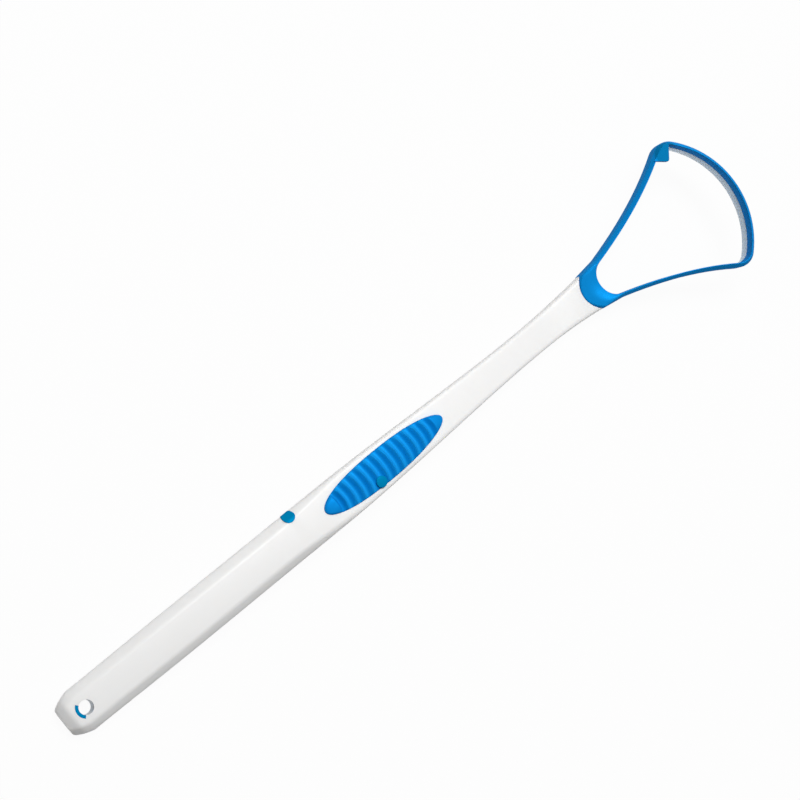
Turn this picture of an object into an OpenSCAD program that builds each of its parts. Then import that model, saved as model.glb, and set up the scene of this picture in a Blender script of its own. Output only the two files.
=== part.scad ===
// Tongue scraper: a white handle carries a blue thumb pad and a blue fan-shaped loop,
// and a white strip along the loop's arc does the scraping.
// The tail points along -X, the head along +X, and the thumb pad faces +Z.
// The origin lies on the surface that the scraper rests on, under the middle of its length.

/* [Handle] */
// Length from the tail to the root of the collar
shank_l = 151.8; // [140:0.1:170]
// Widest part of the grip
grip_w = 10.4; // [9.5:0.1:13]
// Width of the grip just behind the tail's taper
rear_w = 10; // [9.5:0.1:13]
// Narrowest part of the neck
neck_w = 7; // [6.4:0.1:8.4]
// Distance from the tail to where the grip starts to narrow
grip_l = 62; // [56:0.5:68]
// Distance from the tail to the narrowest part of the neck
waist_l = 133; // [126:0.5:138]
// Thickness of the grip
grip_t = 4.8; // [4.4:0.1:6]
// Thickness of the neck where the collar takes it
neck_t = 4; // [3.6:0.1:4.4]
// Height of the handle's arch, from the tail to the neck
arch_h = 2.9; // [1.5:0.1:4]
// Length at the head end of the neck over which it bends up
bend_l = 12; // [8:0.5:16]

/* [Tail] */
// Width of the cut-off end
tail_w = 5.8; // [5:0.1:8]
// Length over which the tail widens to the grip
tail_taper_l = 4; // [3.2:0.1:5.4]
// Length of the slope on top of the tail
tail_slope_l = 1.9; // [1.2:0.1:2.4]
// Drop of the slope on top of the tail
tail_slope_drop = 1.5; // [0.8:0.1:2]
// Radius under the tail's end
tail_heel_r = 0.5; // [0.3:0.05:0.8]

/* [Bevels] */
// Width of the bevel along each top edge of the grip
bevel_w = 1.85; // [1.2:0.05:2.4]
// Depth of that bevel
bevel_d = 1.8; // [1:0.1:2]
// Width of the bevel along each lower edge of the grip
under_bevel_w = 1.4; // [0.8:0.1:1.8]
// Depth of the lower bevel
under_bevel_d = 1.3; // [0.8:0.1:1.6]
// Width and depth of the small edge that the bevels end in on the neck
neck_edge = 0.5; // [0.3:0.05:0.8]
// Distance from the tail to where the bevels start to run out
bevel_l = 57; // [50:0.5:62]
// Length over which the bevels run out
bevel_fade_l = 24; // [16:0.5:34]
// How far the soft transition reaches on each side of an edge
edge_soft = 0.6; // [0.4:0.05:1]

/* [Hanging hole] */
// Radius of the hanging hole
hole_r = 1.6; // [1.4:0.05:1.9]
// Distance from the tail's end to the middle of the hole
hole_x = 5.2; // [4.9:0.1:7]
// Thickness of the blue lining on the tail side of the hole
liner_t = 0.7; // [0.4:0.05:0.9]
// Angle that the lining covers
liner_angle = 100; // [70:1:120]

/* [Thumb pad] */
// Length of the thumb pad
pad_l = 34.8; // [30:0.1:38]
// Width of the thumb pad
pad_w = 7.5; // [6:0.1:7.8]
// Distance from the tail to the middle of the pad
pad_x = 87.6; // [84:0.1:92]
// Depth of the pocket that the pad sits in
pocket_d = 1.1; // [0.8:0.05:1.4]
// Height of the pad's edge above the handle
pad_edge_h = 0.4; // [0.3:0.05:0.6]
// Height of the crown above the pad's edge
pad_crown_h = 0.75; // [0.3:0.05:1]
// Number of cross ribs
rib_count = 12; // [8:1:14]
// Distance from rib to rib
rib_pitch = 2.25; // [1.8:0.05:2.35]
// Depth of the grooves between the ribs
rib_d = 0.5; // [0.3:0.05:0.6]
// Distance from the middle of the pad to the middle of the row of ribs
rib_shift = 0.7; // [0:0.1:1.5]
// Radius of the pegs under the pad
peg_r = 1.1; // [0.8:0.05:1.4]
// Length of the pegs under the pad
peg_l = 1.4; // [1:0.1:1.8]
// Distance from peg to peg
peg_pitch = 10; // [8:0.5:11]
// Radius of the round gate mark
gate_r = 1.3; // [1:0.05:1.5]
// Distance from the middle of the pad back to the gate mark
gate_back = 3.2; // [1:0.1:5]
// Distance from the pad's centre line to the gate mark
gate_side = 2.6; // [2.2:0.1:3]

/* [Side plug] */
// Radius of the round plug in the bevel
plug_r = 1.4; // [1.1:0.05:1.5]
// Depth of the plug below the handle's top
plug_d = 2; // [1.9:0.1:3]
// Distance from the tail to the plug
plug_x = 63.2; // [58:0.1:68]
// Distance from the centre line to the plug
plug_y = 4.35; // [3.8:0.05:4.4]

/* [Collar] */
// Angle at which the head rises from the surface
head_angle = 12; // [8:0.5:15]
// Width of the collar where its root meets the handle's edges
collar_w = 9.3; // [8.6:0.1:10]
// Radius of the collar's rounded root
root_r = 5.9; // [5.4:0.1:6.8]
// Height of the collar at its root
root_h = 4.3; // [4.1:0.1:4.6]
// Solid length of the collar from its root to the loop's opening
collar_l = 5; // [4.4:0.1:6]
// Width of the handle's tongue inside the collar
tongue_w = 4.6; // [3.6:0.1:5.2]
// Thickness of the tongue
tongue_t = 1.7; // [1.2:0.1:2]
// Length of the tongue beyond the root
tongue_l = 3.6; // [3.2:0.1:3.8]
// Radius of the blue post through the tongue
post_r = 0.65; // [0.5:0.05:0.8]

/* [Arms] */
// Thickness of the ribbon that makes the arms and the arc
ribbon_t = 1; // [0.9:0.05:1.3]
// Height of the ribbon along the arms
ribbon_h = 5.8; // [5:0.1:6.4]
// Distance from the root to where the arms leave the collar
arm_start_x = 7.8; // [7.2:0.1:9]
// Half-width of the loop there, at the middle of the ribbon
arm_start_y = 4.95; // [4.5:0.05:5.2]
// Angle at which the arms leave the collar
arm_start_angle = 15.5; // [11:0.5:19]
// Angle at which the arms reach the corners
arm_end_angle = 33.5; // [29:0.5:35]
// Width of the slope that falls outwards from the ribbon's upper rim
rim_slope_w = 0.75; // [0.4:0.05:0.85]
// Drop of that slope
rim_slope_drop = 1.3; // [0.6:0.1:1.6]
// How far the rims of the ribbon are rounded
rim_soft = 0.3; // [0.15:0.05:0.35]

/* [Arc] */
// Radius of the arc, at the middle of the ribbon
arc_r = 22.8; // [21:0.1:26]
// Distance from the root to the front of the arc, at the middle of the ribbon
arc_x = 45.4; // [42:0.1:48]
// Radius of the loop's corners, at the middle of the ribbon
corner_r = 3.4; // [2.8:0.1:4]
// Angle along the arc at which it turns into a corner
corner_angle = 44.5; // [41:0.5:46]
// Height of the blue wall above the strip
arc_wall_h = 3.7; // [3:0.05:4.2]
// Distance from the middle of the ribbon to the nose of the lug in the corner
lug_l = 4.2; // [3.4:0.1:4.6]
// Angle by which the lug turns towards the arm
lug_angle = 12; // [0:1:20]
// Length of the lug's foot along the arm
lug_foot_l = 2.3; // [1.6:0.1:3]
// How far the lug's nose is rounded
lug_soft = 0.6; // [0.3:0.05:0.9]
// Thickness of the lug
lug_t = 1.2; // [0.8:0.1:1.6]

/* [Scraping strip] */
// Height of the strip below the blue wall
strip_h = 3.4; // [2.8:0.1:3.8]
// Thickness of the strip's lower edge
strip_edge_t = 0.6; // [0.4:0.05:0.8]
// How far the strip's lower edge leans inwards
strip_lean = 0.1; // [0:0.05:0.3]
// How far the strip's edges are rounded
strip_soft = 0.14; // [0.06:0.02:0.16]
// Number of studs that hold the strip in the blue wall
stud_count = 7; // [5:1:9]
// Radius of the studs
stud_r = 0.28; // [0.2:0.02:0.32]
// Length of the studs
stud_l = 1.1; // [0.8:0.1:1.4]

/* [Fits] */
// Gap that the blue plastic leaves when it shrinks against the white
shot_gap = 0.03; // [0.02:0.01:0.05]
// How far the side plug and the lug stand proud
proud = 0.15; // [0.1:0.01:0.2]

/* [Hidden] */
$fn = 48;
white = [0.95, 0.95, 0.96];
blue = [0.02, 0.52, 0.86];

// Cuts run past what they cut by this much
overrun = 1;
// Shapes that become one solid reach this far into each other
weld = 0.4;
// Radius and depth of the ejector marks under the handle, and their places as shares of its length
ejector_r = 1.5;
ejector_d = 0.12;
ejector_place_shares = [0.14, 0.36, 0.66, 0.8];

// Shape of the tail's taper, and of the narrowing and the flare of the neck
taper_power = 0.55;
narrowing_power = 1.4;
flare_power = 2.2;
// Most of the half-width and of the height that the bevels may take near the tail
bevel_w_share = 0.4;
bevel_d_share = 0.42;
under_bevel_d_share = 0.34;
// Stations of the tail, as shares of its taper
tail_shares = [0, 0.03, 0.09, 0.18, 0.3, 0.43, 0.57, 0.7, 0.85];
// Numbers of stations along the grip, the neck and the bend
grip_steps = 14;
fade_steps = 9;
neck_steps = 14;
bend_steps = 8;
// Number of steps in one soft edge, and the most of a side that it may take
soft_steps = 3;
soft_share = 0.45;

// How blunt the pad's two ends are
pad_rear_power = 2.5;
pad_front_power = 2.05;
// Steps of the pad's ends, of one rib and across the pad
pad_end_steps = 7;
rib_steps = 8;
pad_cross_steps = 10;
rib_power = 0.8;
// Part of the pad's half-width over which its edge rounds off
pad_round_power = 3;

// Steps of the loop's pieces, for one half of it
root_steps = 8;
side_steps = 5;
arm_steps = 12;
corner_steps = 9;
arc_steps = 13;
// Crown of the collar and the ribbon, as a share of their width, and its steps
crown_share = 0.06;
crown_steps = 4;
// How far the crotch's curve is pulled into its corners
crotch_pull_share = 0.62;
// Least share of its full height that the strip has at its two ends
strip_least_share = 0.1;
// Half the angle that the row of studs spans, as a share of the arc's
stud_span_share = 0.86;
// Places of the lug's middle and of its foot on the arc, between the two ends of its corner
lug_place_share = 0.5;
lug_foot_share = 0.22;
// Place of the tongue's post, as a share of the tongue's length
post_share = 0.58;

// Simple curves
function mix(a, b, t) = a + (b - a) * t;
function clamped(t) = max(0, min(1, t));
function eased(t) = let (c = clamped(t)) c * c * (3 - 2 * c);
function unit(v) = v / norm(v);
function turned(v, angle) = [v.x * cos(angle) - v.y * sin(angle), v.x * sin(angle) + v.y * cos(angle)];
function heading(angle) = [cos(angle), sin(angle)];
function bow(a, b, c, t) = a * (1 - t) * (1 - t) + b * 2 * t * (1 - t) + c * t * t;
function bow3(a, b, c, d, t) = bow(a, b, c, t) * (1 - t) + bow(b, c, d, t) * t;
function meet(p, u, q, v) = p + u * (((q.x - p.x) * v.y - (q.y - p.y) * v.x) / (u.x * v.y - u.y * v.x));

// A polygon's corners, each softened over a reach along both of its sides
function soft_polygon(corners, reaches) = [
    for (i = [0:len(corners) - 1])
        let (
            corner = corners[i],
            before = corners[(i + len(corners) - 1) % len(corners)],
            after = corners[(i + 1) % len(corners)],
            back = min(reaches[i], soft_share * norm(before - corner)),
            ahead = min(reaches[i], soft_share * norm(after - corner)),
            from = corner + unit(before - corner) * back,
            to = corner + unit(after - corner) * ahead
        )
        for (k = [0:soft_steps]) bow(from, corner, to, k / soft_steps)
];

// A closed skin over rings of points. Each ring runs anticlockwise seen against the direction of travel.
module skin(rings, closed = false) {
    n = len(rings[0]);
    last = len(rings) - 1;
    points = [for (ring = rings) for (p = ring) p];
    sides = [
        for (i = [0:closed ? last : last - 1], j = [0:n - 1])
            let (
                next = (i + 1) % (last + 1),
                a = i * n + j,
                b = i * n + (j + 1) % n,
                c = next * n + (j + 1) % n,
                d = next * n + j
            )
            each [[a, d, c], [a, c, b]]
    ];
    caps = closed ? [] : [[for (j = [0:n - 1]) j], [for (j = [0:n - 1]) last * n + n - 1 - j]];
    polyhedron(points = points, faces = concat(sides, caps), convexity = 6);
}

// Sizes of the head in its own frame, and its reach in front of the root
arc_centre_x = arc_x - arc_r;
wall_top = ribbon_h / 2;
wall_bottom = wall_top - arc_wall_h;
strip_bottom = wall_bottom - strip_h;
strip_front_x = arc_x - ribbon_t / 2 - strip_lean + strip_edge_t;
front_reach = strip_front_x * cos(head_angle) - strip_bottom * sin(head_angle);
overall_l = shank_l + front_reach;
ear_x = root_r - sqrt(root_r * root_r - collar_w * collar_w / 4);
shank_end = shank_l + ear_x * cos(head_angle);

// The spine: an arch from the tail to the neck, and a bend that rises to the head's slope. The tail's heel
// and the underside of the bend both touch the surface.
arch_l = shank_l - bend_l;
function arch(t) = 4 * arch_h * t * (1 - t);
spine_start = grip_t / 2 - arch(tail_heel_r / arch_l);
rise_slope = tan(head_angle);
fall_slope = (4 * arch_h + spine_start - neck_t / 2) / arch_l;
bend_dip = fall_slope * fall_slope * bend_l / (fall_slope + rise_slope) / 2;
bend_z = neck_t / 2 + bend_dip;
root_z = bend_z + (rise_slope - fall_slope) * bend_l / 2;
function spine_z(x) =
    let (past = x - arch_l)
    x < arch_l ? mix(spine_start, bend_z, x / arch_l) + arch(x / arch_l)
    : x < shank_l ? bend_z - fall_slope * past + (fall_slope + rise_slope) * past * past / bend_l / 2
    : root_z + rise_slope * (x - shank_l);
function spine_slope(x) = (bend_z - spine_start + 4 * arch_h * (1 - 2 * x / arch_l)) / arch_l;

// Sizes of the handle at a distance from the tail
function shank_w(x) =
    x < tail_taper_l ? mix(tail_w, rear_w, pow(x / tail_taper_l, taper_power))
    : x < grip_l ? mix(rear_w, grip_w, eased((x - tail_taper_l) / (grip_l - tail_taper_l) * 2))
    : x < waist_l ? mix(grip_w, neck_w, pow(eased((x - grip_l) / (waist_l - grip_l)), narrowing_power))
    : mix(neck_w, collar_w, pow((x - waist_l) / (shank_end - waist_l), flare_power));
function shank_t(x) = mix(grip_t, neck_t, eased((x - grip_l) / (waist_l - grip_l)));
function heel_lift(x) = let (t = clamped(1 - x / tail_heel_r)) tail_heel_r * (1 - sqrt(1 - t * t));
function slope_drop(x) = tail_slope_drop * clamped(1 - x / tail_slope_l);
function bevel_left(x) = 1 - eased((x - bevel_l) / bevel_fade_l);

function shank_ring(x, grow) =
    let (
        half = shank_w(x) / 2 + grow,
        top = shank_t(x) / 2 - slope_drop(x) + grow,
        bottom = heel_lift(x) - shank_t(x) / 2 - grow,
        high = top - bottom,
        left = bevel_left(x),
        w1 = min(mix(neck_edge, bevel_w, left), bevel_w_share * half),
        d1 = min(mix(neck_edge, bevel_d, left), bevel_d_share * high),
        w2 = min(mix(neck_edge, under_bevel_w, left), bevel_w_share * half),
        d2 = min(mix(neck_edge, under_bevel_d, left), under_bevel_d_share * high),
        right_side = [
            [half - w2, bottom], [half, bottom + d2], [half, top - d1], [half - w1, top]
        ],
        left_side = [for (k = [3:-1:0]) [-right_side[k].x, right_side[k].y]],
        section = soft_polygon(concat(right_side, left_side), [for (k = [0:7]) edge_soft])
    )
    [for (p = section) [x - overall_l / 2, p.x, p.y + spine_z(x)]];

shank_stations = concat(
    [for (share = tail_shares) share * tail_taper_l],
    [for (k = [0:grip_steps - 1]) mix(tail_taper_l, bevel_l, k / grip_steps)],
    [for (k = [0:fade_steps - 1]) bevel_l + bevel_fade_l * k / fade_steps],
    [for (k = [0:neck_steps - 1]) mix(bevel_l + bevel_fade_l, shank_l - bend_l, k / neck_steps)],
    [for (k = [0:bend_steps]) mix(shank_l - bend_l, shank_end, k / bend_steps)]
);

module shank(grow = 0) {
    skin([for (x = shank_stations) shank_ring(x, grow)]);
}

// Places its children in the head's frame: the origin at the root, X along the head, Z off its plane
module at_head() {
    translate([shank_l - overall_l / 2, 0, root_z]) rotate([0, -head_angle, 0]) children();
}

// Places its children on the top of the handle under the middle of the thumb pad
pad_slope = atan(spine_slope(pad_x));
module at_pad() {
    translate([pad_x - overall_l / 2, 0, spine_z(pad_x) + shank_t(pad_x) / 2])
        rotate([0, -pad_slope, 0]) children();
}

// Places its children on the spine, upright
module at_shank(x, y = 0) {
    translate([x - overall_l / 2, y, spine_z(x)]) children();
}

// The thumb pad's outline, from its rear tip to its front tip
pad_half_l = pad_l / 2;
rib_from = rib_shift - rib_count * rib_pitch / 2;
rib_to = rib_shift + rib_count * rib_pitch / 2;
rear_turn = acos(-rib_from / pad_half_l);
front_turn = acos(rib_to / pad_half_l);
pad_stations = concat(
    [for (k = [1:pad_end_steps - 1]) -pad_half_l * cos(rear_turn * k / pad_end_steps)],
    [for (k = [0:rib_count * rib_steps]) rib_from + rib_pitch * k / rib_steps],
    [for (k = [1:pad_end_steps - 1]) pad_half_l * cos(front_turn * (1 - k / pad_end_steps))]
);
function pad_half_w(x) =
    let (t = abs(x) / pad_half_l)
    pad_w / 2 * sqrt(1 - pow(t, x < 0 ? pad_rear_power : pad_front_power));
function pad_outline(grow) = concat(
    [[-pad_half_l - grow, 0]],
    [for (x = pad_stations) [x, -pad_half_w(x) - grow]],
    [[pad_half_l + grow, 0]],
    [for (k = [len(pad_stations) - 1:-1:0]) [pad_stations[k], pad_half_w(pad_stations[k]) + grow]]
);

// Height of the pad over the handle: a crown that rounds off at the edge, with grooves between the ribs
function pad_groove(x) =
    x < rib_from || x > rib_to ? 0
    : rib_d * pow((1 + cos(360 * (x - rib_from) / rib_pitch)) / 2, rib_power);
function pad_height(x, t) =
    let (fall = 1 - pow(abs(t), pad_round_power), along = sqrt(max(0, 1 - pow(x / pad_half_l, 2))))
    pad_edge_h + pad_crown_h * fall * along - pad_groove(x) * sqrt(fall);
function pad_row(x) = [
    for (k = [0:pad_cross_steps])
        let (t = -cos(180 * k / pad_cross_steps)) [x, t * pad_half_w(x), pad_height(x, t)]
];

module pad_body() {
    rows = [for (x = pad_stations) pad_row(x)];
    m = len(rows);
    n = pad_cross_steps + 1;
    rear = m * n;
    front = rear + 1;
    floor_rear = rear + 2;
    floor_front = rear + 3;
    floor_start = rear + 4;
    points = concat(
        [for (row = rows) for (p = row) p],
        [
            [-pad_half_l, 0, pad_edge_h], [pad_half_l, 0, pad_edge_h],
            [-pad_half_l, 0, -pocket_d], [pad_half_l, 0, -pocket_d]
        ],
        [for (x = pad_stations) each [[x, -pad_half_w(x), -pocket_d], [x, pad_half_w(x), -pocket_d]]]
    );
    last = m - 1;
    top = [
        for (i = [0:m - 2], j = [0:n - 2])
            let (a = i * n + j, b = a + n, c = b + 1, d = a + 1) each [[a, d, c], [a, c, b]]
    ];
    tips = [
        for (j = [0:n - 2])
            each [[rear, j + 1, j], [front, last * n + j, last * n + j + 1]]
    ];
    walls = [
        for (i = [0:m - 2])
            let (
                a = i * n, b = a + n, c = floor_start + 2 * i, d = c + 2,
                e = a + n - 1, f = e + n, g = c + 1, h = g + 2
            )
            each [[a, b, d], [a, d, c], [f, e, g], [f, g, h]]
    ];
    ends = [
        [rear, 0, floor_start], [rear, floor_start, floor_rear],
        [n - 1, rear, floor_rear], [n - 1, floor_rear, floor_start + 1],
        [last * n, front, floor_front], [last * n, floor_front, floor_start + 2 * last],
        [front, last * n + n - 1, floor_start + 2 * last + 1],
        [front, floor_start + 2 * last + 1, floor_front]
    ];
    base = [
        concat(
            [floor_rear],
            [for (i = [0:last]) floor_start + 2 * i],
            [floor_front],
            [for (i = [last:-1:0]) floor_start + 2 * i + 1]
        )
    ];
    polyhedron(points = points, faces = concat(top, tips, walls, ends, base), convexity = 8);
}

module pad_pegs(grow) {
    for (k = [-1:1])
        translate([k * peg_pitch, 0, -pocket_d - peg_l - grow])
            cylinder(r = peg_r + grow, h = peg_l + weld + grow);
}

module gate_mark(grow) {
    translate([-gate_back, -gate_side, -pocket_d - grow])
        cylinder(r = gate_r + grow, h = pocket_d + pad_edge_h + pad_crown_h / 2 + grow);
}

// The loop: pairs of an inner and an outer point for one half of it, from the crotch to the front
arm_from = [arm_start_x, arm_start_y];
arm_dir = heading(arm_start_angle);
arm_out = turned(arm_dir, 90);
corner_centre = [arc_centre_x, 0] + heading(corner_angle) * (arc_r - corner_r);
arm_end_out = heading(90 + arm_end_angle);
arm_to = corner_centre + arm_end_out * corner_r;
arm_knee = meet(arm_from, arm_dir, arm_to, heading(arm_end_angle));
half_t = ribbon_t / 2;
arm_inner = arm_from - arm_out * half_t;
arm_outer = arm_from + arm_out * half_t;

crotch = [collar_l, 0];
crotch_knee = meet(crotch, [0, 1], arm_inner, arm_dir);
function crotch_point(t) = bow3(
    crotch,
    mix(crotch, crotch_knee, crotch_pull_share),
    mix(arm_inner, crotch_knee, crotch_pull_share),
    arm_inner,
    t
);
root_angle = asin(collar_w / 2 / root_r);
ear = [ear_x, collar_w / 2];
collar_steps = root_steps + side_steps;
function root_point(k) =
    k <= root_steps ? [root_r, 0] + root_r * heading(180 - root_angle * k / root_steps)
    : mix(ear, arm_outer, (k - root_steps) / side_steps);
function arm_dir_at(t) = unit(mix(arm_knee - arm_from, arm_to - arm_knee, t));

// Each station of the half loop: its middle or inner point, its outward direction, its width and its stage
function ribbon_station(p, out, stage) = [p - out * half_t, p + out * half_t, stage];
half_loop = concat(
    [for (k = [0:collar_steps - 1]) [crotch_point(k / collar_steps), root_point(k), k / collar_steps - 1]],
    [
        for (k = [0:arm_steps - 1])
            let (t = k / arm_steps)
            ribbon_station(bow(arm_from, arm_knee, arm_to, t), turned(arm_dir_at(t), 90), 0)
    ],
    [
        for (k = [0:corner_steps - 1])
            let (out = heading(mix(90 + arm_end_angle, corner_angle, k / corner_steps)))
            ribbon_station(corner_centre + out * corner_r, out, k / corner_steps)
    ],
    [
        for (k = [0:arc_steps])
            let (out = heading(corner_angle * (1 - k / arc_steps)))
            ribbon_station([arc_centre_x, 0] + out * arc_r, out, 1)
    ]
);
function flipped(p) = [p.x, -p.y];
loop = concat(
    half_loop,
    [
        for (k = [len(half_loop) - 2:-1:1])
            let (s = half_loop[k]) [flipped(s[0]), flipped(s[1]), s[2]]
    ]
);

// Levels of the blue wall at a stage: below 0 on the collar, 0 on the arms, up to 1 through a corner
function blue_top(stage) = mix(wall_top, root_h / 2, eased(-stage));
function blue_bottom(stage) = stage < 0 ? -blue_top(stage) : mix(-wall_top, wall_bottom, eased(stage));

function blue_ring(inner, outer, stage) =
    let (
        wide = norm(outer - inner),
        out = unit(outer - inner),
        top = blue_top(stage),
        bottom = blue_bottom(stage),
        sloped = eased(1 + stage),
        flat = wide - mix(rim_soft, rim_slope_w, sloped),
        shoulder = top - mix(rim_soft, rim_slope_drop, sloped),
        crown = crown_share * wide,
        corners = [[0, bottom], [wide, bottom], [wide, shoulder], [flat, top], [0, top]],
        box = soft_polygon(corners, [for (corner = corners) rim_soft]),
        turn = soft_steps + 1,
        // Middle point of the underside, and points of the crowned top
        under = [[wide / 2, bottom - (stage < 0 ? crown / 2 : 0)]],
        over = [
            for (k = [crown_steps - 1:-1:1])
                let (t = k / crown_steps) [flat * t, top + crown * 4 * t * (1 - t)]
        ],
        section = concat(
            [for (k = [0:turn - 1]) box[k]], under,
            [for (k = [turn:4 * turn - 1]) box[k]], over,
            [for (k = [4 * turn:5 * turn - 1]) box[k]]
        )
    )
    [for (p = section) [inner.x + out.x * p.x, inner.y + out.y * p.x, p.y]];

function strip_ring(inner, outer, stage) =
    let (
        out = unit(outer - inner),
        top = blue_bottom(stage) - shot_gap,
        bottom = mix(-wall_top, strip_bottom, eased(stage)),
        lower = -strip_lean,
        corners = [[lower, bottom], [lower + strip_edge_t, bottom], [ribbon_t, top], [0, top]],
        section = soft_polygon(corners, [strip_soft, strip_soft, strip_soft / 2, strip_soft / 2])
    )
    [for (p = section) [inner.x + out.x * p.x, inner.y + out.y * p.x, p.y]];

// The collar's root, and the tongue and post that lock it to the handle
module tongue(gap) {
    translate([-weld, -tongue_w / 2 - gap, -tongue_t / 2 - gap])
        cube([tongue_l + weld + gap, tongue_w + 2 * gap, tongue_t + 2 * gap]);
}
module post(gap) {
    translate([tongue_l * post_share, 0, -root_h / 2 + weld])
        cylinder(r = post_r + gap, h = root_h - 2 * weld);
}

// The part of the hanging hole's wall that the lining covers, on the tail side
module liner_sector(gap) {
    reach = 2 * (hole_r + liner_t);
    half = liner_angle / 2;
    slip = gap / sin(half);
    linear_extrude(height = 2 * grip_t, center = true)
        polygon([[slip, 0], [slip - reach, reach * tan(half)], [slip - reach, -reach * tan(half)]]);
}
module liner_ring(gap) {
    intersection() {
        difference() {
            cylinder(r = hole_r + liner_t + gap, h = grip_t + 2 * overrun, center = true);
            cylinder(r = hole_r - gap, h = grip_t + 4 * overrun, center = true);
        }
        liner_sector(gap);
    }
}

// Studs that stand up from the strip into the blue wall
module studs(gap) {
    spread = corner_angle * stud_span_share;
    for (k = [0:stud_count - 1]) {
        out = heading(mix(-spread, spread, k / (stud_count - 1))) * arc_r;
        translate([arc_centre_x + out.x, out.y, wall_bottom - weld])
            cylinder(r = stud_r + gap, h = weld + stud_l + gap);
    }
}

module handle() color(white) {
    difference() {
        shank();
        at_head() translate([root_r, 0, -root_h]) cylinder(r = root_r, h = 2 * root_h);
        at_shank(hole_x) cylinder(r = hole_r, h = grip_t + 2 * overrun, center = true);
        at_shank(hole_x) liner_ring(shot_gap);
        at_shank(plug_x, plug_y) translate([0, 0, shank_t(plug_x) / 2 - plug_d])
            cylinder(r = plug_r + shot_gap, h = plug_d + overrun);
        at_pad() {
            translate([0, 0, -pocket_d - shot_gap])
                linear_extrude(height = pocket_d + overrun) polygon(pad_outline(shot_gap));
            pad_pegs(shot_gap);
            gate_mark(shot_gap);
        }
        for (share = ejector_place_shares)
            at_shank(share * shank_l) translate([0, 0, -shank_t(share * shank_l) / 2 - overrun])
                cylinder(r = ejector_r, h = ejector_d + overrun);
    }
    at_head() difference() {
        tongue(0);
        post(shot_gap);
    }
}

module thumb_pad() color(blue) at_pad() {
    pad_body();
    pad_pegs(0);
    gate_mark(0);
}

module side_plug() color(blue) {
    intersection() {
        shank(proud);
        at_shank(plug_x, plug_y) translate([0, 0, shank_t(plug_x) / 2 - plug_d + shot_gap])
            cylinder(r = plug_r, h = plug_d + overrun);
    }
}

module eyelet_liner() color(blue) {
    intersection() {
        shank();
        at_shank(hole_x) liner_ring(0);
    }
}

module lug() {
    lug_turn = mix(corner_angle, 90 + arm_end_angle, lug_place_share);
    spot = corner_centre + heading(lug_turn) * corner_r;
    nose = spot + heading(lug_turn + 180 - lug_angle) * lug_l;
    arm_foot = arm_to - heading(arm_end_angle) * lug_foot_l;
    arc_foot = corner_centre + heading(mix(corner_angle, 90 + arm_end_angle, lug_foot_share)) * corner_r;
    translate([0, 0, wall_top - lug_t + proud]) linear_extrude(height = lug_t)
        polygon(soft_polygon([spot, arm_foot, nose, arc_foot], [0, 0, lug_soft, 0]));
}

module head_frame() color(blue) at_head() {
    difference() {
        union() {
            skin([for (s = loop) blue_ring(s[0], s[1], s[2])], closed = true);
            lug();
        }
        difference() {
            tongue(shot_gap);
            post(0);
        }
        studs(shot_gap);
    }
}

module scraping_blade() color(white) at_head() {
    skin([for (s = loop) if (eased(s[2]) > strip_least_share) strip_ring(s[0], s[1], s[2])]);
    studs(0);
}

handle();
thumb_pad();
side_plug();
eyelet_liner();
head_frame();
scraping_blade();
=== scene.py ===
import math

import bmesh
import bpy
from mathutils import Euler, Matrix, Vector


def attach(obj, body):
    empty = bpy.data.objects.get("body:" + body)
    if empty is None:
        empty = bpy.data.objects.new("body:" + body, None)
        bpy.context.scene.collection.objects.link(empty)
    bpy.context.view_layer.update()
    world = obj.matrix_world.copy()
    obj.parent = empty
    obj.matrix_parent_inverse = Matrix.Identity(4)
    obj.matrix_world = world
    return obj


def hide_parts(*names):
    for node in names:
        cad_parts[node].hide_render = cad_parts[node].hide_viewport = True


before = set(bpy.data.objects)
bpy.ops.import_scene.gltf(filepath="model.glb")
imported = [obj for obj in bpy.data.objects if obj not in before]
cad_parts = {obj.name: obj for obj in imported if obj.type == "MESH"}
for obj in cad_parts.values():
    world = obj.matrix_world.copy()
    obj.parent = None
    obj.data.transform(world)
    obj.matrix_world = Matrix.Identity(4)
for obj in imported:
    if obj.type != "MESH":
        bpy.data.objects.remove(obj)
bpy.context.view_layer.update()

MM = 0.001

# Viewpoint of the photograph: the camera's place in mm, its turn in degrees, lens and sensor in mm
CAMERA_PLACE = (-135.054, 41.269, 396.88)
CAMERA_TURN = (8.5354, -17.8662, -39.5167)
CAMERA_LENS = 84.325
CAMERA_SENSOR = 36.0

# Smoothing of the meshes: corners this close are joined, and edges flatter than this look round
WELD_REACH = 0.002 * MM
SMOOTH_ANGLE = math.radians(32)

# Studio: the camera and reflections see a white world and a floor that mostly glows white, and the
# object is lit by the lamps, a dim world and the floor's own pale colour
FLOOR_SIZE = 6.0
FLOOR_COLOUR = (0.68, 0.68, 0.68, 1)
FLOOR_GLOW_SHARE = 0.955
FIBRE_STRENGTH = 0.05
FIBRE_DEPTH = 0.05 * MM
WORLD_STRENGTH = 0.12
WHITE = (1, 1, 1, 1)
# Lamps: name, place, width and power. Both hang beyond the head, the key lamp on its +Y side and
# the gloss lamp higher up on the other.
LAMPS = [
    ("key_lamp", (0.22, 0.25, 0.85), 0.5, 7.6),
    ("gloss_lamp", (0.75, -0.26, 2.05), 0.5, 4.0),
]

# Plastics: linear base colours
WHITE_PLASTIC = (0.85, 0.848, 0.842)
# The strip is the handle's white plastic: its cooler, bluer colour is painted light, the blue that
# the loop around it throws on it.
STRIP_WHITE_IN_BLUE_LIGHT = (0.76, 0.88, 0.96)
LOOP_BLUE = (0.004, 0.25, 0.66)
PAD_BLUE = (0.008, 0.315, 0.78)
MARK_BLUE = (0.0, 0.22, 0.46)
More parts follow.
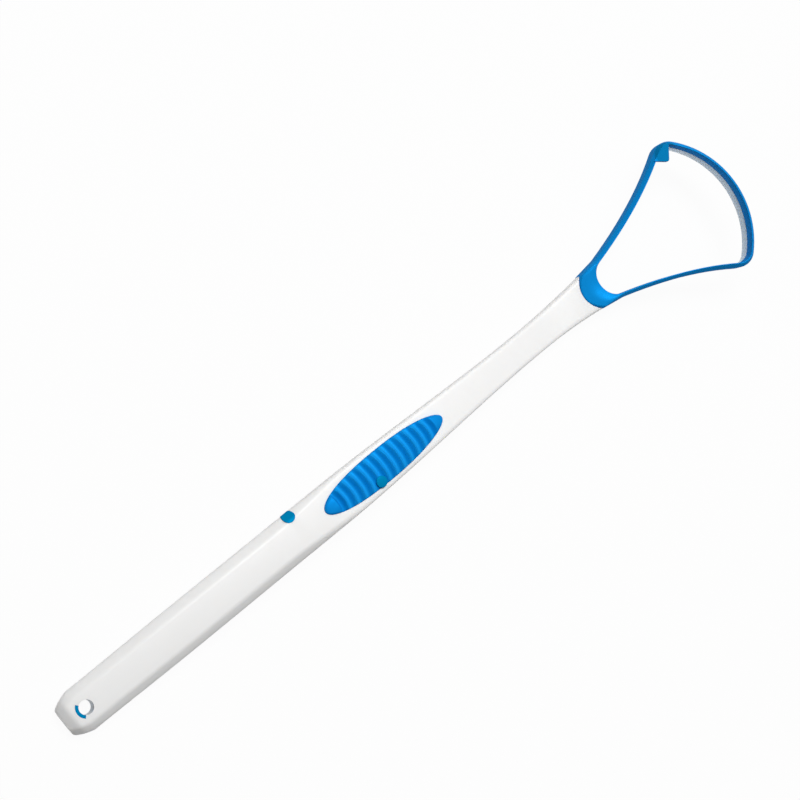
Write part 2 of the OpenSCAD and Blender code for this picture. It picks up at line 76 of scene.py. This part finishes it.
# What the whites and the blues have in common. The blues keep their colour in what they mirror:
# no white reflection, and a touch of a coloured one.
WHITE_KIND = dict(rough=(0.3, 0.4), grain=0.12, tone=0.012, shine=0.3, metal=0.0, glow=0.2)
BLUE_KIND = dict(tone=0.04, shine=0.0, metal=0.07, glow=0.0)
REFRACTION = 1.49
GLOW_RADIUS = (1.0, 0.9, 0.8)
GLOW_SCALE = 1.2 * MM
# Painted shade on the lug in the loop's corner: a darker colour round its middle. Its middle and
# reach in mm, and its colour. The colours mix between these shares of the reach.
LUG_PAINTED_SHADE = ((88.0, 15.0, 13.4), 2.8, (0.002, 0.16, 0.38))
SHADE_PATCH_EDGE = (0.9, 1.1)
# Painted light and shade on the pad: it has its full colour on its crests and is painted darker
# down in its hollows, as painted shade. The smooth ends lie between the two, and the tone follows
# the ribs a little towards the head, in mm, so that the painted light falls on the flanks that face
# the lamps.
PAINTED_SHADE_LAYER = "crest"
HOLLOW_PAINTED_SHADE = (0.1, 0.58, 0.74)
SMOOTH_END_CREST = 0.36
CREST_SHIFT = 0.4

# Noises in the surfaces: features per metre, and detail
FLOW_NOISE = (70, 3.0)
MOTTLE_NOISE = (420, 4.0)
GRAIN_NOISE = (5200, 2.0)
FIBRE_NOISE = (900, 2.0)
NOISE_ROUGHNESS = 0.55
# Noise below the first of these counts as none of it, and above the second as all of it
NOISE_RANGE = (0.3, 0.7)
# Flow marks are drawn out along the handle
FLOW_STRETCH = (0.25, 1, 1)
# The mottle mixes in this much of a tone that is darker by so many times the plastic's own spread
MOTTLE_SHARE = 0.35
MOTTLE_TONE = 1.6
MOTTLE_DEPTH = 0.05 * MM
GRAIN_DEPTH = 0.02 * MM

# Thumb pad, in mm: its middle on the handle's top is the origin, and it leans down to the head by
# so many degrees
PAD_PLACE = (-10.9406, 0, 7.2218)
PAD_LEAN = 1.2903
PAD_HALF_LENGTH = 17.4
PAD_HALF_WIDTH = 3.75
# Roundness of its outline: a higher power makes a blunter end
REAR_POWER = 2.5
FRONT_POWER = 2.05
# It rises at once by the edge height, and from there by the crown height to its middle
EDGE_HEIGHT = 0.4
EDGE_POWER_ACROSS = 12
EDGE_POWER_ALONG = 40
CROWN_HEIGHT = 0.75
CROWN_POWER = 3
PAD_SKIRT = 0.9
# Steps of its mesh along each smooth end, across it and from crest to crest
PAD_END_STEPS = 12
PAD_CROSS_STEPS = 28
RIB_STEPS = 24
# Its ribs, in mm: narrow crests, with a hollow before, between and after them. A hollow is deepest
# at its low share, and the first and last ones have lengths of their own.
RIB_START = -12.82
RIB_PITCH = 2.264
RIB_COUNT = 12
RIB_END = RIB_START + (RIB_COUNT - 1) * RIB_PITCH
HOLLOW_DEPTH = 0.72
HOLLOW_LOW_SHARE = 0.32
FIRST_HOLLOW = 1.8
LAST_HOLLOW = 2.2
# The ribs bow towards the head by this much along the pad's middle, and less near its tips
RIB_BEND = 0.46
RIB_BEND_POWER = 8
# A crest is rounded by taking the mean height at these places round it
CREST_ROUNDING = (-0.08, -0.04, 0, 0.04, 0.08)
# The round gate mark at the pad's edge, in mm. Its top slopes outwards by the lean, and its rim
# drops by the rounding.
GATE_PLACE = (-3.2, -2.6)
GATE_RADIUS = 1.3
GATE_HEIGHT = 0.98
GATE_LEAN = 0.16
GATE_ROUNDING = 0.18
GATE_RINGS = 6
GATE_STEPS = 48


class Nodes:
    """A shader's node tree, which is built one node at a time."""

    def __init__(self, owner):
        owner.use_nodes = True
        self.tree = owner.node_tree
        self.tree.nodes.clear()

    def add(self, kind, **inputs):
        """A new node. An input's name has _ for each space, and takes a value or an output."""
        made = self.tree.nodes.new(kind)
        for name, value in inputs.items():
            self.put(made.inputs[name.replace("_", " ")], value)
        return made

    def put(self, socket, value):
        """Links an output to the socket, or writes a plain value on it."""
        if isinstance(value, bpy.types.NodeSocket):
            self.tree.links.new(value, socket)
        else:
            socket.default_value = value

    def combine(self, kind, operation, first, second):
        """A maths node of two inputs that have no names of their own."""
        made = self.add(kind)
        made.operation = operation
        self.put(made.inputs[0], first)
        self.put(made.inputs[1], second)
        return made

    def noise(self, where, scale, detail, stretch=(1, 1, 1)):
        """Soft noise from 0 to 1."""
        mapping = self.add("ShaderNodeMapping", Vector=where, Scale=stretch)
        return self.add(
            "ShaderNodeTexNoise",
            Vector=mapping.outputs["Vector"],
            Scale=scale,
            Detail=detail,
            Roughness=NOISE_ROUGHNESS,
        ).outputs["Fac"]

    def spread(self, value, low, high, start=NOISE_RANGE[0], end=NOISE_RANGE[1]):
        """Maps a value between start and end to the range from low to high."""
        made = self.add(
            "ShaderNodeMapRange", Value=value, From_Min=start, From_Max=end, To_Min=low, To_Max=high
        )
        return made.outputs["Result"]

    def blend(self, share, first, second):
        """Mixes two colours, each an output or three numbers."""
        made = self.add("ShaderNodeMix")
        made.data_type = "RGBA"
        self.put(made.inputs[0], share)
        sockets = [s for s in made.inputs if s.type == "RGBA"]
        for socket, colour in zip(sockets, (first, second)):
            self.put(socket, colour if isinstance(colour, bpy.types.NodeSocket) else (*colour, 1))
        return next(s for s in made.outputs if s.type == "RGBA")

    def layer(self, share, first, second):
        """Mixes two shaders."""
        made = self.add("ShaderNodeMixShader", Fac=share)
        self.put(made.inputs[1], first)
        self.put(made.inputs[2], second)
        return made.outputs[0]

    def seen(self):
        """1 for the camera's rays and for those that reflect or pass through, 0 for other light."""
        path = self.add("ShaderNodeLightPath")
        total = path.outputs["Is Camera Ray"]
        for name in ("Is Glossy Ray", "Is Transmission Ray"):
            made = self.combine("ShaderNodeMath", "ADD", total, path.outputs[name])
            made.use_clamp = True
            total = made.outputs[0]
        return total


def shade(colour, factor):
    """The colour made lighter or darker, up to white."""
    return tuple(min(1.0, c * factor) for c in colour)


def painted_shade_spot(m, where, colour, middle, reach, shade_colour):
    """Painted shade: the colour with a round place of a darker one, whose middle and reach are in
    mm.
    """
    away = m.combine("ShaderNodeVectorMath", "DISTANCE", where, Vector(middle) * MM)
    start, end = (share * reach * MM for share in SHADE_PATCH_EDGE)
    return m.blend(m.spread(away.outputs["Value"], 1, 0, start, end), colour, shade_colour)


def shade_hollows(m, colour, painted_shade):
    """Painted shade: the colour times a darker one, in full where the crest layer is 0 and not at
    all where it is 1.
    """
    height = m.add("ShaderNodeAttribute")
    height.attribute_name = PAINTED_SHADE_LAYER
    factor = m.blend(height.outputs["Fac"], painted_shade, (1, 1, 1))
    return m.combine("ShaderNodeVectorMath", "MULTIPLY", colour, factor).outputs["Vector"]


def plastic(name, colour, rough, grain, tone, shine, metal, glow, shade_patch=None, hollow_shade=None):
    """Moulded plastic: faint flow marks and mottle in its colour, uneven gloss and a fine grain.

    rough is the range of its roughness and tone the spread of its colour. shine is its white
    reflection, metal its coloured one, and glow the share of light that shines in it. shade_patch
    is a round place of painted shade in a darker colour, and hollow_shade the darker colour of the
    painted shade where the crest layer is low."""
    made = bpy.data.materials.new(name)
    m = Nodes(made)
    where = m.add("ShaderNodeTexCoord").outputs["Object"]
    flow = m.noise(where, *FLOW_NOISE, stretch=FLOW_STRETCH)
    mottle = m.noise(where, *MOTTLE_NOISE)
    fine = m.noise(where, *GRAIN_NOISE)
    streaked = m.blend(m.spread(flow, 0, 1), shade(colour, 1 - tone), shade(colour, 1 + tone))
    dark = shade(colour, 1 - MOTTLE_TONE * tone)
    base = m.blend(m.spread(mottle, 0, MOTTLE_SHARE), streaked, dark)
    # painted shade: a round place of a darker colour
    if shade_patch:
        base = painted_shade_spot(m, where, base, *shade_patch)
    # painted light and shade along the pad's ribs, darker in the hollows
    if hollow_shade:
        base = shade_hollows(m, base, hollow_shade)
    grained = m.add("ShaderNodeBump", Strength=grain, Distance=GRAIN_DEPTH, Height=fine)
    wavy = m.add(
        "ShaderNodeBump",
        Strength=grain,
        Distance=MOTTLE_DEPTH,
        Height=mottle,
        Normal=grained.outputs["Normal"],
    )
    surface = m.add(
        "ShaderNodeBsdfPrincipled",
        Base_Color=base,
        Metallic=metal,
        Roughness=m.spread(mottle, *rough),
        IOR=REFRACTION,
        Normal=wavy.outputs["Normal"],
        Subsurface_Weight=glow,
        Subsurface_Radius=GLOW_RADIUS,
        Subsurface_Scale=GLOW_SCALE,
        Specular_IOR_Level=shine,
    )
    m.add("ShaderNodeOutputMaterial", Surface=surface.outputs["BSDF"])
    return made


MATERIALS = {
    "handle": plastic("white_plastic", WHITE_PLASTIC, **WHITE_KIND),
    "scraping_blade": plastic("white_strip", STRIP_WHITE_IN_BLUE_LIGHT, **WHITE_KIND),
    # The loop has painted shade on the lug in its corner.
    "head_frame": plastic(
        "blue_loop", LOOP_BLUE, rough=(0.28, 0.38), grain=0.15, **BLUE_KIND, shade_patch=LUG_PAINTED_SHADE
    ),
    # The pad has painted light on its crests and painted shade in its hollows.
    "thumb_pad": plastic(
        "blue_pad", PAD_BLUE, rough=(0.3, 0.42), grain=0.2, **BLUE_KIND, hollow_shade=HOLLOW_PAINTED_SHADE
    ),
    "side_plug": plastic("blue_marks", MARK_BLUE, rough=(0.34, 0.44), grain=0.15, **BLUE_KIND),
}
MATERIALS["eyelet_liner"] = MATERIALS["side_plug"]


def smoothing():
    """Node group that joins the facets' shared corners and smooths all but the real edges."""
    group = bpy.data.node_groups.new("smooth_facets", "GeometryNodeTree")
    group.interface.new_socket("Geometry", in_out="INPUT", socket_type="NodeSocketGeometry")
    group.interface.new_socket("Geometry", in_out="OUTPUT", socket_type="NodeSocketGeometry")
    nodes, links = group.nodes, group.links
    start, end = nodes.new("NodeGroupInput"), nodes.new("NodeGroupOutput")
    weld = nodes.new("GeometryNodeMergeByDistance")
    weld.inputs["Distance"].default_value = WELD_REACH
    faces = nodes.new("GeometryNodeSetShadeSmooth")
    edges = nodes.new("GeometryNodeSetShadeSmooth")
    edges.domain = "EDGE"
    angle = nodes.new("GeometryNodeInputMeshEdgeAngle")
    soft = nodes.new("FunctionNodeCompare")
    soft.data_type, soft.operation = "FLOAT", "LESS_THAN"
    soft.inputs["B"].default_value = SMOOTH_ANGLE
    links.new(start.outputs[0], weld.inputs["Geometry"])
    links.new(weld.outputs["Geometry"], faces.inputs["Geometry"])
    links.new(faces.outputs["Geometry"], edges.inputs["Geometry"])
    links.new(angle.outputs["Unsigned Angle"], soft.inputs["A"])
    links.new(soft.outputs["Result"], edges.inputs["Shade Smooth"])
    links.new(edges.outputs["Geometry"], end.inputs[0])
    return group


SMOOTH_GROUP = smoothing()


def smooth(piece):
    """Puts the smoothing on a piece, as a modifier that leaves its mesh alone."""
    piece.modifiers.new("smooth", "NODES").node_group = SMOOTH_GROUP


for name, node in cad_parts.items():
    for slot in node.material_slots:
        slot.material = MATERIALS[name]
    smooth(node)


def put_in_scene(name, data):
    """A new object of that name and data, linked to the scene."""
    made = bpy.data.objects.new(name, data)
    bpy.context.scene.collection.objects.link(made)
    return made


def half_width(x):
    """Half the pad's width at x."""
    power = REAR_POWER if x < 0 else FRONT_POWER
    return PAD_HALF_WIDTH * math.sqrt(1 - abs(x / PAD_HALF_LENGTH) ** power)


def rib_step(x):
    """Share of the way from one crest to the next, below 0 or above 1 beyond the end hollows."""
    if x < RIB_START:
        return 1 + (x - RIB_START) / FIRST_HOLLOW
    if x > RIB_END:
        return (x - RIB_END) / LAST_HOLLOW
    return (x - RIB_START) / RIB_PITCH % 1


def crest_at(x):
    """1 on a crest and 0 in the middle of a hollow, with a level between at the smooth ends."""
    step = rib_step(x)
    if not 0 <= step <= 1:
        return SMOOTH_END_CREST
    at_smooth_end = (x < RIB_START and step < 0.5) or (x > RIB_END and step > 0.5)
    top = SMOOTH_END_CREST if at_smooth_end else 1
    return top * (0.5 + 0.5 * math.cos(2 * math.pi * step))


def crest_level(x, share):
    """The crest layer's value, which sets the painted light and shade, at x and at a share of the
    half width: no ribs show at the edge.
    """
    inwards = math.sqrt(1 - abs(share) ** EDGE_POWER_ACROSS)
    return SMOOTH_END_CREST + (crest_at(x - CREST_SHIFT) - SMOOTH_END_CREST) * inwards


def hollow_at(x):
    """Share of the full depth of the hollow at x, with sharp crests between the hollows.

    A hollow drops steeply after one crest and rises slowly to the next."""
    step = rib_step(x)
    low = HOLLOW_LOW_SHARE
    away = (low - step) / low if step < low else (step - low) / (1 - low)
    return max(0.0, 1 - away * away)


def hollow_share(x):
    """The same with rounded crests."""
    return sum(hollow_at(x + offset) for offset in CREST_ROUNDING) / len(CREST_ROUNDING)


def pad_height(x, share):
    """Height of the pad at x and at a share of its half width."""
    along, across = abs(x / PAD_HALF_LENGTH), abs(share)
    edge = math.sqrt((1 - across**EDGE_POWER_ACROSS) * (1 - along**EDGE_POWER_ALONG))
    fall = 1 - across**CROWN_POWER
    crown = CROWN_HEIGHT * fall * math.sqrt(1 - along * along)
    return EDGE_HEIGHT * edge + crown - HOLLOW_DEPTH * hollow_share(x) * math.sqrt(fall)


def rib_bend(x, share):
    """How far the ribs bow towards the head at x and at a share of the pad's half width."""
    return RIB_BEND * (1 - share * share) * (1 - abs(x / PAD_HALF_LENGTH) ** RIB_BEND_POWER)


def pad_stations():
    """Distances along the pad: close together over the ribs, and towards its two tips."""
    ribs_from, ribs_to = RIB_START - FIRST_HOLLOW, RIB_END + LAST_HOLLOW
    rear = math.acos(-ribs_from / PAD_HALF_LENGTH)
    front = math.acos(ribs_to / PAD_HALF_LENGTH)
    ends = [k / PAD_END_STEPS for k in range(1, PAD_END_STEPS)]
    steps = round(RIB_STEPS * (ribs_to - ribs_from) / RIB_PITCH)
    return (
        [-PAD_HALF_LENGTH * math.cos(rear * t) for t in ends]
        + [ribs_from + (ribs_to - ribs_from) * k / steps for k in range(steps + 1)]
        + [PAD_HALF_LENGTH * math.cos(front * (1 - t)) for t in ends]
    )


def on_pad(x, y, z):
    """A point of the pad's own frame, in the model's frame and in metres."""
    lean = math.radians(PAD_LEAN)
    turned_x = x * math.cos(lean) + z * math.sin(lean)
    turned_z = z * math.cos(lean) - x * math.sin(lean)
    return Vector(PAD_PLACE) * MM + Vector((turned_x, y, turned_z)) * MM


def close_below(bm, rim):
    """Closes a mesh with a skirt down from its rim, a loop of (vertex, x, y), and a floor."""
    low = [bm.verts.new(on_pad(x, y, -PAD_SKIRT)) for _, x, y in rim]
    for k in range(len(rim)):
        after = (k + 1) % len(rim)
        bm.faces.new((rim[k][0], rim[after][0], low[after], low[k]))
    bm.faces.new(low)


def add_piece(name, bm, material):
    """A piece of the root body from a finished mesh."""
    bmesh.ops.recalc_face_normals(bm, faces=bm.faces)
    mesh = bpy.data.meshes.new(name)
    bm.to_mesh(mesh)
    bm.free()
    mesh.materials.append(material)
    piece = put_in_scene(name, mesh)
    smooth(piece)
    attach(piece, "root")
    return piece


def build_pad():
    """The ribbed pad: a lens-shaped crown with cross ribs, which fills the handle's pocket."""
    bm = bmesh.new()
    # The crest layer holds how much painted shade each point of the pad gets.
    crest = bm.verts.layers.float.new(PAINTED_SHADE_LAYER)
    shares = [-math.cos(math.pi * k / PAD_CROSS_STEPS) for k in range(PAD_CROSS_STEPS + 1)]
    stations = pad_stations()

    def add_vertex(x, y, z, level):
        made = bm.verts.new(on_pad(x, y, z))
        made[crest] = level
        return made

    def add_row(x):
        width = half_width(x)
        return [
            add_vertex(x + rib_bend(x, t), t * width, pad_height(x, t), crest_level(x, t))
            for t in shares
        ]

    tips = [add_vertex(end * PAD_HALF_LENGTH, 0, 0, SMOOTH_END_CREST) for end in (-1, 1)]
    rows = [add_row(x) for x in stations]
    for first, second in zip(rows, rows[1:]):
        for k in range(PAD_CROSS_STEPS):
            bm.faces.new((first[k], second[k], second[k + 1], first[k + 1]))
    for tip, row in zip(tips, (rows[0], rows[-1])):
        for k in range(PAD_CROSS_STEPS):
            bm.faces.new((tip, row[k], row[k + 1]))
    right = [(row[0], x, -half_width(x)) for x, row in zip(stations, rows)]
    left = [(row[-1], x, half_width(x)) for x, row in zip(stations, rows)]
    rear_tip, front_tip = (tips[0], -PAD_HALF_LENGTH, 0), (tips[1], PAD_HALF_LENGTH, 0)
    close_below(bm, [rear_tip] + right + [front_tip] + left[::-1])
    pad = add_piece("ribbed_pad", bm, MATERIALS["thumb_pad"])
    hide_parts("thumb_pad")


def build_gate_mark():
    """The round mark at the pad's edge: a low button that leans outwards, with a rounded rim."""
    bm = bmesh.new()
    middle_x, middle_y = GATE_PLACE
    loops = []
    for ring in range(1, GATE_RINGS + 1):
        turn = math.pi / 2 * ring / GATE_RINGS
        reach, drop = GATE_RADIUS * math.sin(turn), GATE_ROUNDING * (1 - math.cos(turn))
        loop = []
        for k in range(GATE_STEPS):
            angle = 2 * math.pi * k / GATE_STEPS
            x, y = reach * math.cos(angle), reach * math.sin(angle)
            point = on_pad(middle_x + x, middle_y + y, GATE_HEIGHT + GATE_LEAN * y - drop)
            loop.append((bm.verts.new(point), middle_x + x, middle_y + y))
        loops.append(loop)
    top = bm.verts.new(on_pad(middle_x, middle_y, GATE_HEIGHT))
    for k in range(GATE_STEPS):
        after = (k + 1) % GATE_STEPS
        bm.faces.new((top, loops[0][k][0], loops[0][after][0]))
        for inner, outer in zip(loops, loops[1:]):
            bm.faces.new((inner[k][0], outer[k][0], outer[after][0], inner[after][0]))
    close_below(bm, loops[-1])
    add_piece("gate_button", bm, MATERIALS["side_plug"])


def floor_material():
    """Pale matt floor that looks nearly white and keeps the object's shadow."""
    made = bpy.data.materials.new("floor_paper")
    m = Nodes(made)
    where = m.add("ShaderNodeTexCoord").outputs["Object"]
    fibre = m.noise(where, *FIBRE_NOISE)
    bump = m.add("ShaderNodeBump", Strength=FIBRE_STRENGTH, Distance=FIBRE_DEPTH, Height=fibre)
    matt = m.add("ShaderNodeBsdfDiffuse", Color=FLOOR_COLOUR, Normal=bump.outputs["Normal"])
    glow = m.add("ShaderNodeEmission", Color=WHITE, Strength=1.0)
    lit = m.layer(FLOOR_GLOW_SHARE, matt.outputs[0], glow.outputs[0])
    m.add("ShaderNodeOutputMaterial", Surface=m.layer(m.seen(), matt.outputs[0], lit))
    return made


def build_floor():
    mesh = bpy.data.meshes.new("floor")
    bm = bmesh.new()
    bmesh.ops.create_grid(bm, x_segments=1, y_segments=1, size=FLOOR_SIZE / 2)
    bm.to_mesh(mesh)
    bm.free()
    floor = put_in_scene("floor", mesh)
    mesh.materials.append(floor_material())


def build_world():
    """White to the camera and in reflections, and a dim light for the object."""
    world = bpy.data.worlds.new("studio")
    bpy.context.scene.world = world
    m = Nodes(world)
    strength = m.spread(m.seen(), WORLD_STRENGTH, 1.0, start=0, end=1)
    light = m.add("ShaderNodeBackground", Color=WHITE, Strength=strength)
    m.add("ShaderNodeOutputWorld", Surface=light.outputs[0])


def build_lamps():
    """Round lamps that face the model's middle."""
    for name, place, size, power in LAMPS:
        data = bpy.data.lights.new(name, "AREA")
        data.shape, data.size, data.energy = "DISK", size, power
        lamp = put_in_scene(name, data)
        lamp.location = place
        lamp.rotation_euler = Vector(place).to_track_quat("Z", "Y").to_euler()


def build_camera():
    data = bpy.data.cameras.new("camera")
    data.sensor_width, data.lens = CAMERA_SENSOR, CAMERA_LENS
    camera = put_in_scene("camera", data)
    camera.location = Vector(CAMERA_PLACE) * MM
    camera.rotation_euler = Euler([math.radians(a) for a in CAMERA_TURN], "XYZ")
    bpy.context.scene.camera = camera


build_pad()
build_gate_mark()
build_floor()
build_world()
build_lamps()
build_camera()
bpy.context.scene.view_settings.view_transform = "Standard"
